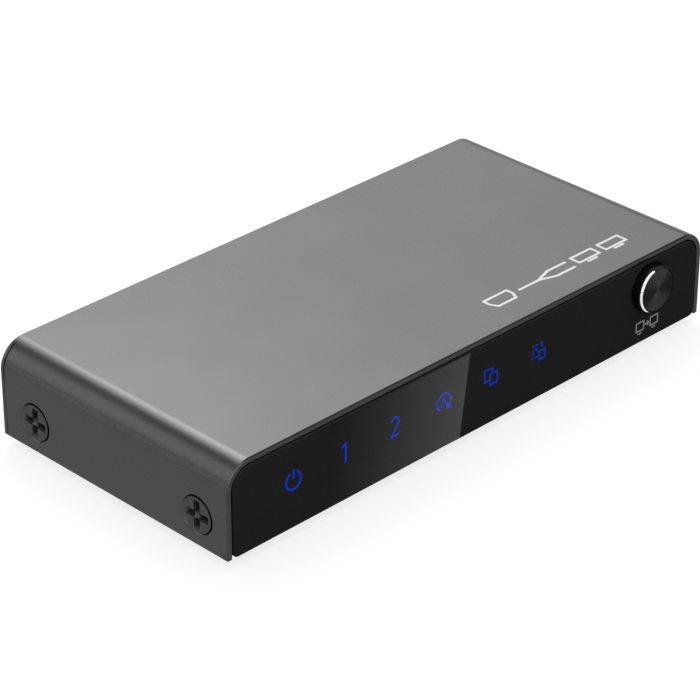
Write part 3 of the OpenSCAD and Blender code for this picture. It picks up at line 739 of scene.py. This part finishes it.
def boardGreen(spec):  # solder mask over runs of copper
    finish, shader, place = startFinish("board_green", {})
    cells = finish.node_tree.nodes.new("ShaderNodeTexVoronoi")
    cells.distance = "CHEBYCHEV"
    cells.feature = "F1"
    cells.inputs["Scale"].default_value = 1 / (spec["cell"] * spec["pitch"] * mm)
    link(place, cells.inputs["Vector"])
    lines = calc("PINGPONG", cells.outputs["Distance"], spec["run"])
    copper = span(lines, 0, 1, *spec["edge"])
    link(blendTint(copper, spec["mask"], spec["trace"]), shader.inputs["Base Color"])
    fine = speckle(place, spec["grain"])
    link(span(fine, *spec["rough"]), shader.inputs["Roughness"])
    relief(shader, copper, spec["depth"])
    return finish


finishes["panel_black"] = panelGloss(panelGlossSpec)
finishes["screw_dark"] = screwMetal(screwMetalSpec)
finishes["symbol_blue"] = symbolLight(symbolSpec)
finishes["disc_spun"] = discSpun(discSpec)
finishes["guide_clear"] = guideClear(guideSpec)
finishes["board_green"] = boardGreen(boardSpec)
print("finishes: %d" % len(finishes))


# Bent cover

printSpec = {"sink": 0.02, "proud": 0.015,  # mm below and above the surface it lies on
             "sides": 16, "foot": (0.3, 0.7)}  # a screen's foot, in shares of its width
coverSpec = {"sheet": 0.9, "bendRadius": 4.3, "bendSteps": 16, "edgeRound": 0.22,
             "holeRadius": 3.2, "threadRadius": 1.55, "headRadius": 2.95,
             "over": 0.5, "drillSides": 72}  # mm


def screwPlaces():  # side, y and z of each side screw's axis
    low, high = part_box("cover_screws")
    head = coverSpec["headRadius"] * mm
    height = (low.z + high.z) / 2
    return [(side, y, height) for side in (-1, 1) for y in (low.y + head, high.y - head)]


def bendCover(spec):
    low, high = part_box("top_cover")
    high.z -= printSpec["proud"] * mm  # room for the print
    cover = addBlock("coverSheet", low, high)

    def topEdge(a, b):
        return min(a.z, b.z) > high.z - hair and abs(a.x - b.x) < hair

    pick(cover, "EDGE", topEdge)
    roundOff(spec["bendRadius"] * mm, spec["bendSteps"])
    pick(cover, "FACE", facing("down", "front", "back"))
    bpy.ops.mesh.delete(type="FACE")
    applyModifier(cover, "SOLIDIFY", thickness=spec["sheet"] * mm, offset=-1, use_even_offset=True)
    slope = (spec["holeRadius"] - spec["threadRadius"]) * mm
    over = spec["over"] * mm
    wide, narrow = spec["holeRadius"] * mm + over, spec["threadRadius"] * mm
    for side, y, z in screwPlaces():
        middle = side * (high.x + (over - slope) / 2)
        ends = (narrow, wide) if side > 0 else (wide, narrow)
        drill = addRound("drill", (middle, y, z), "X", slope + over, *ends, sides=spec["drillSides"])
        cutAway(cover, drill)
    easeEdges(cover, spec["edgeRound"] * mm, steps=3)
    smoothOver(cover, 45)
    return fit(cover, "housing", "cover_grey", "top_cover")


bendCover(coverSpec)
print("cover: bent, drilled and eased")


# Countersunk cross-head screws

screwSpec = {"headRadius": 2.8, "shankRadius": 1.5, "length": 4.0, "edgeRound": 0.05, "sides": 72,
             "armReach": 2.45, "armWidth": 1.3, "armFoot": 0.9, "armDepth": 0.85,
             "armStart": 0.5, "armOver": 0.3,
             "wellRadius": 0.85, "wellFoot": 0.425, "wellDepth": 0.26, "wellSides": 32,  # mm
             "turns": (4, 41, 68)}  # degrees from the first screw to the others


def turnScrew(spec):  # built on the left side, its head towards -X
    y, z = screwPlaces()[0][1:]
    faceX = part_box("cover_screws")[0].x
    head, shank = spec["headRadius"] * mm, spec["shankRadius"] * mm
    cone = head - shank
    length = spec["length"] * mm
    screw = addRound("screw", (faceX + cone / 2, y, z), "X", cone, head, shank, spec["sides"])
    pick(screw, "FACE", facing("right"))
    pull(length - cone, 0, 0)
    reach, start, over = spec["armReach"] * mm, spec["armStart"] * mm, spec["armOver"] * mm
    depth, half = spec["armDepth"] * mm, spec["armWidth"] / 2 * mm
    narrow = spec["armFoot"] / spec["armWidth"]
    middle = Matrix.Translation((0, y, z))
    arms = []
    for turn in range(4):
        arm = addBlock("arm", (faceX - over, y + start, z - half), (faceX + depth, y + reach, z + half))
        pick(arm, "FACE", facing("right"))
        bpy.ops.transform.resize(value=(1, narrow, narrow), center_override=(faceX + depth, y + start, z))
        leaveEdit()
        arm.data.transform(middle @ Matrix.Rotation(turn * math.pi / 2, 4, "X") @ middle.inverted())
        arms.append(arm)
    well = addRound("well", (faceX, y, z), "X", 2 * spec["wellDepth"] * mm, spec["wellRadius"] * mm,
                    spec["wellFoot"] * mm, spec["wellSides"])
    cutAway(screw, *arms, well)
    easeEdges(screw, spec["edgeRound"] * mm, steps=2, angle=40)
    smoothOver(screw, 40)
    return screw


def driveScrews(spec):
    first = turnScrew(spec)
    home = Vector((0, *screwPlaces()[0][1:]))
    screws = [first]
    for number, (side, y, z) in enumerate(screwPlaces()[1:]):
        turn = Matrix.Rotation(math.radians(spec["turns"][number]), 4, "X")
        flip = Matrix.Rotation(math.pi if side > 0 else 0, 4, "Z")
        place = Matrix.Translation((0, y, z)) @ flip @ turn @ Matrix.Translation(-home)
        screws.append(duplicate(first, "screw%d" % (number + 2), place))
    return fit(joinUp("sideScrews", screws), "housing", "screw_dark", "cover_screws")


driveScrews(screwSpec)
print("screws: four in place")


# Front panel

panelSpec = {"edgeRound": 0.25, "holeRound": 0.12, "topCorner": 3.15, "lowCorner": 0.95,
             "spread": 0.1, "rise": 0.06, "lean": 0.04, "touch": 0.02, "holeReach": 0.3}  # mm


def moldPanel(spec):
    panel = copyNode("front_panel", "frontPanel")
    low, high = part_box("front_panel")
    spread, rise, lean = spec["spread"] * mm, spec["rise"] * mm, spec["lean"] * mm
    pick(panel, "VERT", lambda point: high.x - abs(point.x) < spec["topCorner"] * mm)
    grow = (1 + spread / high.x, 1, 1 + rise / (high.z - low.z))  # the rim comes closer to the cover
    bpy.ops.transform.resize(value=grow, center_override=(0, low.y, low.z))
    bpy.ops.transform.translate(value=(lean, 0, 0))
    leaveEdit()
    high += Vector((spread, 0, rise))
    capLow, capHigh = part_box("button_ring")
    axis = (capLow + capHigh) / 2
    holeReach = (capHigh.x - capLow.x) / 2 + spec["holeReach"] * mm

    def onFace(a, b):
        return max(a.y, b.y) < low.y + hair

    def rim(a, b):
        middle = (a + b) / 2
        near = lean + spec["touch"] * mm
        aside, under, over = high.x - abs(middle.x), high.z - middle.z, middle.z - low.z
        straight = min(aside, under, over) < near
        topCorner = max(aside, under) < spec["topCorner"] * mm
        lowCorner = max(aside, over) < spec["lowCorner"] * mm
        return onFace(a, b) and (straight or topCorner or lowCorner)

    def hole(a, b):
        away = max((p - axis).xz.length for p in (a, b))
        return onFace(a, b) and away < holeReach

    pick(panel, "EDGE", rim)
    roundOff(spec["edgeRound"] * mm, 3)
    pick(panel, "EDGE", hole)
    roundOff(spec["holeRound"] * mm, 2)
    leaveEdit()
    smoothOver(panel, 35, weighted=False)
    keepFlat(panel, "front")
    return fit(panel, "housing", "panel_black", "front_panel")


frontPanel = moldPanel(panelSpec)
print("panel: eased")


# Push button

buttonSpec = {"sides": 96, "chamfer": 0.2, "chamferDepth": 0.3, "rim": 0.1, "ringRound": 0.06,
              "capRound": 0.06, "discRound": 0.04, "rings": 14}  # mm


def scaleAbout(factor, centre):
    bpy.ops.transform.resize(value=(factor, 1, factor), center_override=centre)


def turnRing(spec):
    low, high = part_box("button_ring")
    axis = (low + high) / 2
    radius = (high.x - low.x) / 2
    foot = low.y + spec["chamferDepth"] * mm
    ring = addRound("buttonRing", (axis.x, (foot + high.y) / 2, axis.z), "Y", high.y - foot, radius,
                    sides=spec["sides"])
    pick(ring, "FACE", facing("front"))
    pull(0, low.y - foot, 0)
    scaleAbout((radius - spec["chamfer"] * mm) / radius, (axis.x, low.y, axis.z))
    bpy.ops.mesh.inset(thickness=spec["rim"] * mm)
    pull(0, high.y - low.y, 0)
    bpy.ops.mesh.delete(type="FACE")
    pick(ring, "FACE", facing("back"))
    bpy.ops.mesh.delete(type="FACE")
    pick(ring, "EDGE", lambda a, b: min(a.y, b.y) > high.y - hair)
    bpy.ops.mesh.bridge_edge_loops()
    pickAll(ring)
    bpy.ops.mesh.normals_make_consistent(inside=False)

    def outerEdge(a, b):
        return abs(a.y - b.y) < hair and min((p - axis).xz.length for p in (a, b)) > radius - hair

    pick(ring, "EDGE", outerEdge)
    roundOff(spec["ringRound"] * mm, 3)
    leaveEdit()
    smoothOver(ring, 40)
    return fit(ring, "button", "ring_chrome", "button_ring")


def spinDisc(spec):
    low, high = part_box("button_disc")
    axis = (low + high) / 2
    radius = (high.x - low.x) / 2
    disc = addRound("buttonDisc", axis, "Y", high.y - low.y, radius, sides=spec["sides"])
    pick(disc, "FACE", facing("front"))
    for step in range(spec["rings"]):
        bpy.ops.mesh.inset(thickness=radius / (spec["rings"] + 0.5))
    bpy.ops.mesh.poke()
    leaveEdit()
    easeEdges(disc, spec["discRound"] * mm)
    smoothOver(disc, 30)
    layer = disc.data.uv_layers.new(name="spin")
    for loop, uv in zip(disc.data.loops, layer.data):
        away = disc.data.vertices[loop.vertex_index].co - axis
        uv.uv = (away.xz.length / radius, math.atan2(away.z, away.x) / (2 * math.pi) + 0.5)
    disc.data.uv_layers.active = layer
    return fit(disc, "button", "disc_spun", "button_disc")


def moldCap(spec):
    cap = copyNode("button_cap", "buttonCap")
    easeEdges(cap, spec["capRound"] * mm)
    smoothOver(cap)
    return fit(cap, "button", "button_black", "button_cap")


moldCap(buttonSpec)
buttonRing = turnRing(buttonSpec)
buttonDisc = spinDisc(buttonSpec)
print("button: cap, ring and disc")


# Tray, feet, sockets and jack

easedSpec = {  # node: piece, slot, edge round in mm
    "base_tray": ("baseTray", "tray_grey", 0.14),
    "input_shell": ("inputShell", "shell_nickel", 0.1),
    "output_1_shell": ("outputShell1", "shell_nickel", 0.1),
    "output_2_shell": ("outputShell2", "shell_nickel", 0.1),
    "input_insulator": ("inputInsulator", "insulator_black", 0.1),
    "output_1_insulator": ("outputInsulator1", "insulator_black", 0.1),
    "output_2_insulator": ("outputInsulator2", "insulator_black", 0.1),
    "jack_body": ("jackBody", "jack_black", 0.16),
    "jack_pin": ("jackPin", "pin_nickel", 0.05),
}


def easeNodes(spec):
    for nodeName, (name, slot, width) in spec.items():
        piece = copyNode(nodeName, name)
        easeEdges(piece, width * mm)
        smoothOver(piece)
        fit(piece, "housing", slot, nodeName)


footSpec = {"radius": 4.0, "round": 0.45, "lip": 0.9, "hollow": 0.25, "slope": 0.15, "sides": 64}  # mm


def pressFeet(spec):
    low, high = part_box("rubber_feet")
    radius = spec["radius"] * mm
    centre = Vector((low.x + radius, low.y + radius, (low.z + high.z) / 2))
    first = addRound("foot", centre, "Z", high.z - low.z, radius, sides=spec["sides"])
    pick(first, "EDGE", lambda a, b: max(a.z, b.z) < low.z + hair)
    roundOff(spec["round"] * mm, 4)
    pick(first, "FACE", facing("down", least=0.999))
    bpy.ops.mesh.inset(thickness=spec["lip"] * mm)
    bpy.ops.mesh.inset(thickness=spec["slope"] * mm, depth=-spec["hollow"] * mm)
    leaveEdit()
    smoothOver(first, 35)
    across, along = high.x - low.x - 2 * radius, high.y - low.y - 2 * radius
    feet = [first]
    for number, shift in enumerate(((across, 0), (0, along), (across, along))):
        feet.append(duplicate(first, "foot%d" % (number + 2), Matrix.Translation((*shift, 0))))
    return fit(joinUp("rubberFeet", feet), "housing", "foot_rubber", "rubber_feet")


easeNodes(easedSpec)
pressFeet(footSpec)
print("tray, feet, sockets and jack: eased")


# Solids that keep their CAD shape

nodeFinishes = {
    "panel_tape": "tape_black", "light_baffle": "baffle_black", "switch_body": "switch_black",
    "switch_plunger": "plunger_white", "circuit_board": "board_green", "board_standoffs": "standoff_brass",
    "board_screws": "screw_steel", "jack_leaf": "leaf_brass", "splitter_chip": "chip_black",
    "thermal_pad": "pad_grey", "heat_sink": "sink_black", "line_driver_1": "chip_black",
    "line_driver_2": "chip_black", "controller_chip": "chip_black", "crystal": "crystal_metal",
    "regulator_chip": "chip_black", "power_coil": "coil_grey", "can_capacitors": "can_metal",
    "chip_capacitors": "ceramic_tan", "chip_resistors": "resistor_black",
}
symbolNames = ("power_symbol", "numeral_one", "numeral_two", "cycle_symbol", "pages_symbol",
               "dashed_pages_symbol")
nodeFinishes.update({name: "symbol_blue" for name in symbolNames})
nodeFinishes.update({name + "_contacts": "contact_gold" for name in ("input", "output_1", "output_2")})
for number in range(1, 7):
    nodeFinishes["light_guide_%d" % number] = "guide_clear"
    nodeFinishes["lamp_%d" % number] = "lamp_white"
for nodeName, slot in nodeFinishes.items():
    node = cadNodes[nodeName]
    node.data.materials.clear()
    node.data.materials.append(finishes[slot])
print("finished nodes: %d" % len(nodeFinishes))


# Printed marks

def drawStroke(start, end, width):  # a thin strip with round ends, flat in X and Y
    start, end = Vector((*start, 0)) * mm, Vector((*end, 0)) * mm
    along = (end - start).normalized()
    dropSelection()
    bpy.ops.mesh.primitive_circle_add(vertices=printSpec["sides"], radius=width * mm / 2, fill_type="NGON",
                                      location=start)
    strip = settle(bpy.context.object)
    pick(strip, "VERT", lambda point: (point - start).dot(along) > -speck)
    bpy.ops.transform.translate(value=end - start)
    pickAll(strip)
    thick = (printSpec["sink"] + printSpec["proud"]) * mm
    pull(0, 0, -thick)
    pickAll(strip)
    bpy.ops.mesh.normals_make_consistent(inside=False)
    leaveEdit()
    return strip


def printMarks(name, paths, width, place, slot):
    strips = [drawStroke(start, end, width) for path in paths for start, end in zip(path, path[1:])]
    marks, others = joinUp(name, strips[0::2]), joinUp("others", strips[1::2])
    applyModifier(marks, "BOOLEAN", operation="UNION", solver="EXACT", use_self=True, object=others)
    bpy.data.objects.remove(others, do_unlink=True)
    marks.data.transform(place @ Matrix.Translation((0, 0, printSpec["proud"] * mm)))
    return fit(marks, "housing", slot)


def frameMark(x, y, wide, tall):  # a plain rectangle
    return [(x, y), (x + wide, y), (x + wide, y + tall), (x, y + tall), (x, y)]


def footMark(x, y, wide):  # the foot below a screen
    return [(x + share * wide, y) for share in printSpec["foot"]]


def plugOutline(x, y, wide, tall, slant):  # a plug seen from its end
    right, middle, top = x + wide, y + tall / 2, y + tall
    return [(x + slant, y), (right - slant, y), (right, middle), (right, top), (x, top), (x, middle),
            (x + slant, y)]


def arrowMark(x, y, length, barb):
    tip = (x + length, y)
    return [[(x, y), tip], [(tip[0] - barb, y + barb), tip, (tip[0] - barb, y - barb)]]


topMarkSpec = {"x": 8.6, "fromFront": 5.0, "tall": 2.5, "stroke": 0.48,  # mm
               "plug": 5.0, "lead": 4.2, "fork": 3.0, "arm": 4.0, "screen": 4.6, "gap": 1.5,
               "slant": 0.6, "armInset": 0.25, "lift": 0.6}


def printTop(spec):  # one plug that forks to two screens
    low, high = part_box("top_cover")
    plug, tall, screen, gap = spec["plug"], spec["tall"], spec["screen"], spec["gap"]
    middle, inset, lift = tall / 2, spec["armInset"], spec["lift"]
    forkX = plug + gap + spec["lead"]
    armX = forkX + spec["fork"]
    armEnd = armX + spec["arm"]
    paths = [plugOutline(0, 0, plug, tall, spec["slant"]), [(plug + gap, middle), (forkX, middle)]]
    for y in (inset, tall - inset):
        paths.append([(forkX, middle), (armX, y), (armEnd, y)])
    for number in range(2):
        x = armEnd + gap + number * (screen + gap)
        paths += [frameMark(x, lift, screen, tall - lift), footMark(x, 0, screen)]
    top = high.z - printSpec["proud"] * mm
    place = Matrix.Translation((spec["x"] * mm, low.y + spec["fromFront"] * mm, top))
    return printMarks("topMarks", paths, spec["stroke"], place, "print_pale")


buttonMarkSpec = {"below": 7.65, "wide": 5.0, "tall": 1.95, "stroke": 0.24, "screen": 1.75, "lift": 0.4875,
                  "clear": 0.35, "arrowHigh": 1.209, "barb": 0.35}  # mm


def printButtonMarks(spec):  # one screen read by another
    low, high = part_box("button_ring")
    middle = (low + high) / 2
    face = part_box("front_panel")[0].y
    screen, wide, lift, clear = spec["screen"], spec["wide"], spec["lift"], spec["clear"]
    starts = (0, wide - screen)
    paths = [frameMark(x, lift, screen, spec["tall"] - lift) for x in starts]
    paths += [footMark(x, 0, screen) for x in starts]
    paths += arrowMark(screen + clear, spec["arrowHigh"], wide - 2 * (screen + clear), spec["barb"])
    place = Matrix.Translation((middle.x - wide / 2 * mm, face, middle.z - spec["below"] * mm))
    facingFront = Matrix.Rotation(math.pi / 2, 4, "X")
    return printMarks("buttonMarks", paths, spec["stroke"], place @ facingFront, "print_grey")


rearMarkSpec = {"above": 1.9, "screenWide": 4.2, "screenTall": 2.5, "stroke": 0.2, "digitTall": 1.35,
                "footDrop": 0.45, "plugWide": 3.4, "plugTall": 1.5, "plugLow": 0.3, "plugSlant": 0.375,
                "arrow": 1.5, "arrowGap": 0.6, "barb": 0.45, "ring": 0.62, "dot": 0.22, "lead": 0.75,
                "ringHigh": 1.0, "gape": 40, "steps": 12, "dotSteps": 8}  # mm, and degrees for the gape


def arcMark(x, y, radius, start, sweep, steps):  # degrees, counted anticlockwise from the right
    turns = [math.radians(start + sweep * step / steps) for step in range(steps + 1)]
    return [(x + radius * math.cos(turn), y + radius * math.sin(turn)) for turn in turns]


def digitMark(digit, x, y, tall):  # a plain 1 or 2 in shares of its height, its middle at x
    half = 0.3 * tall
    if digit == 1:
        return [(x - 0.6 * half, y + 0.72 * tall), (x + 0.2 * half, y + tall), (x + 0.2 * half, y)]
    bowl = arcMark(x, y + tall - half, half, 160, -200, 8)
    return bowl + [(x - half, y), (x + half, y)]


def screenMark(digit, spec):  # a screen with its number
    wide, tall, digitTall = spec["screenWide"], spec["screenTall"], spec["digitTall"]
    left = -wide / 2
    number = digitMark(digit, 0, (tall - digitTall) / 2, digitTall)
    return [frameMark(left, 0, wide, tall), footMark(left, -spec["footDrop"], wide), number]


def plugMark(spec):  # a plug and an arrow into it
    wide, tall, low = spec["plugWide"], spec["plugTall"], spec["plugLow"]
    left = -wide / 2
    arrow = arrowMark(left - spec["arrowGap"] - spec["arrow"], low + tall / 2, spec["arrow"], spec["barb"])
    return [plugOutline(left, low, wide, tall, spec["plugSlant"])] + arrow


def polarityMark(spec):  # a jack's pin and sleeve
    ring, y, gape = spec["ring"], spec["ringHigh"], spec["gape"]
    reach, half = ring + spec["lead"], ring / 2
    paths = [arcMark(0, y, ring, gape, 360 - 2 * gape, spec["steps"]),
             arcMark(0, y, spec["dot"], 0, 360, spec["dotSteps"]),
             [(0, y), (reach, y)], [(-ring, y), (-reach, y)]]
    for x in (reach + ring, -reach - ring):
        paths.append(arcMark(x, y, ring, 0, 360, spec["steps"]))
        paths.append([(x - half, y), (x + half, y)])
    paths.append([(reach + ring, y - half), (reach + ring, y + half)])
    return paths


def printRear(spec):
    wallLow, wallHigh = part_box("base_tray")
    marks = {"input_shell": plugMark(spec), "output_1_shell": screenMark(1, spec),
             "output_2_shell": screenMark(2, spec), "jack_body": polarityMark(spec)}
    facingBack = Matrix.Rotation(math.pi, 4, "Z") @ Matrix.Rotation(math.pi / 2, 4, "X")
    for node, paths in marks.items():
        low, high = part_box(node)
        place = Vector(((low.x + high.x) / 2, wallHigh.y, wallLow.z + spec["above"] * mm))
        name = "rearMarks_" + node.split("_shell")[0].split("_body")[0]
        printMarks(name, paths, spec["stroke"], Matrix.Translation(place) @ facingBack, "print_pale")


printTop(topMarkSpec)
printButtonMarks(buttonMarkSpec)
printRear(rearMarkSpec)
print("marks: top, button and rear")


# Light kept to some pieces

gleamSpec = {  # way from the ring to the lamp, how far and how large in mm, brightness
    "ringHigh": {"to": (-0.55, -0.5, 0.6), "away": 300, "wide": 600, "tall": 760, "level": 1.1},
    "ringLow": {"to": (-0.9, -0.42, -0.112), "away": 86, "wide": 160, "tall": 80, "level": 0.9,
                "facesUp": True},
    "ringRight": {"to": (0.5, -0.75, 0.42), "away": 300, "wide": 300, "tall": 200, "level": 0.8},
    "ringTop": {"to": (0.7, -0.2, 0.68), "away": 300, "wide": 420, "tall": 320, "level": 0.036},
    "discFront": {"to": (0.85, -0.81, -0.23), "away": 150, "wide": 121, "tall": 54, "level": 4.6},
}


def addGleams(spec):  # what the button's ring and disc mirror
    low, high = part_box("button_ring")
    middle = (low + high) / 2
    buttonOnly = bpy.data.collections.new("buttonOnly")
    buttonOnly.objects.link(buttonRing)
    for name, gleam in spec.items():
        place = middle + Vector(gleam["to"]).normalized() * gleam["away"] * mm
        aim = place + Vector((0, 0, 1)) if "facesUp" in gleam else middle
        lamp = hangLamp(name, place, aim, gleam["wide"] * mm, gleam["tall"] * mm, gleam["level"])
        lamp.visible_diffuse = False
        shareLight(lamp, [buttonDisc if name == "discFront" else buttonRing], "INCLUDE")
        lamp.light_linking.blocker_collection = buttonOnly  # the floor is no bar to it


addGleams(gleamSpec)
shareLight(tent, [buttonRing], "EXCLUDE")
glossyFront = [frontPanel] + [cadNodes[name] for name in symbolNames]
shareLight(panelGlare, glossyFront, "INCLUDE")
shareLight(floorCards["front"], glossyFront + [buttonRing], "EXCLUDE")
buttonRing.visible_glossy = False  # the panel shows no second ring
print("gleams: %d" % len(gleamSpec))
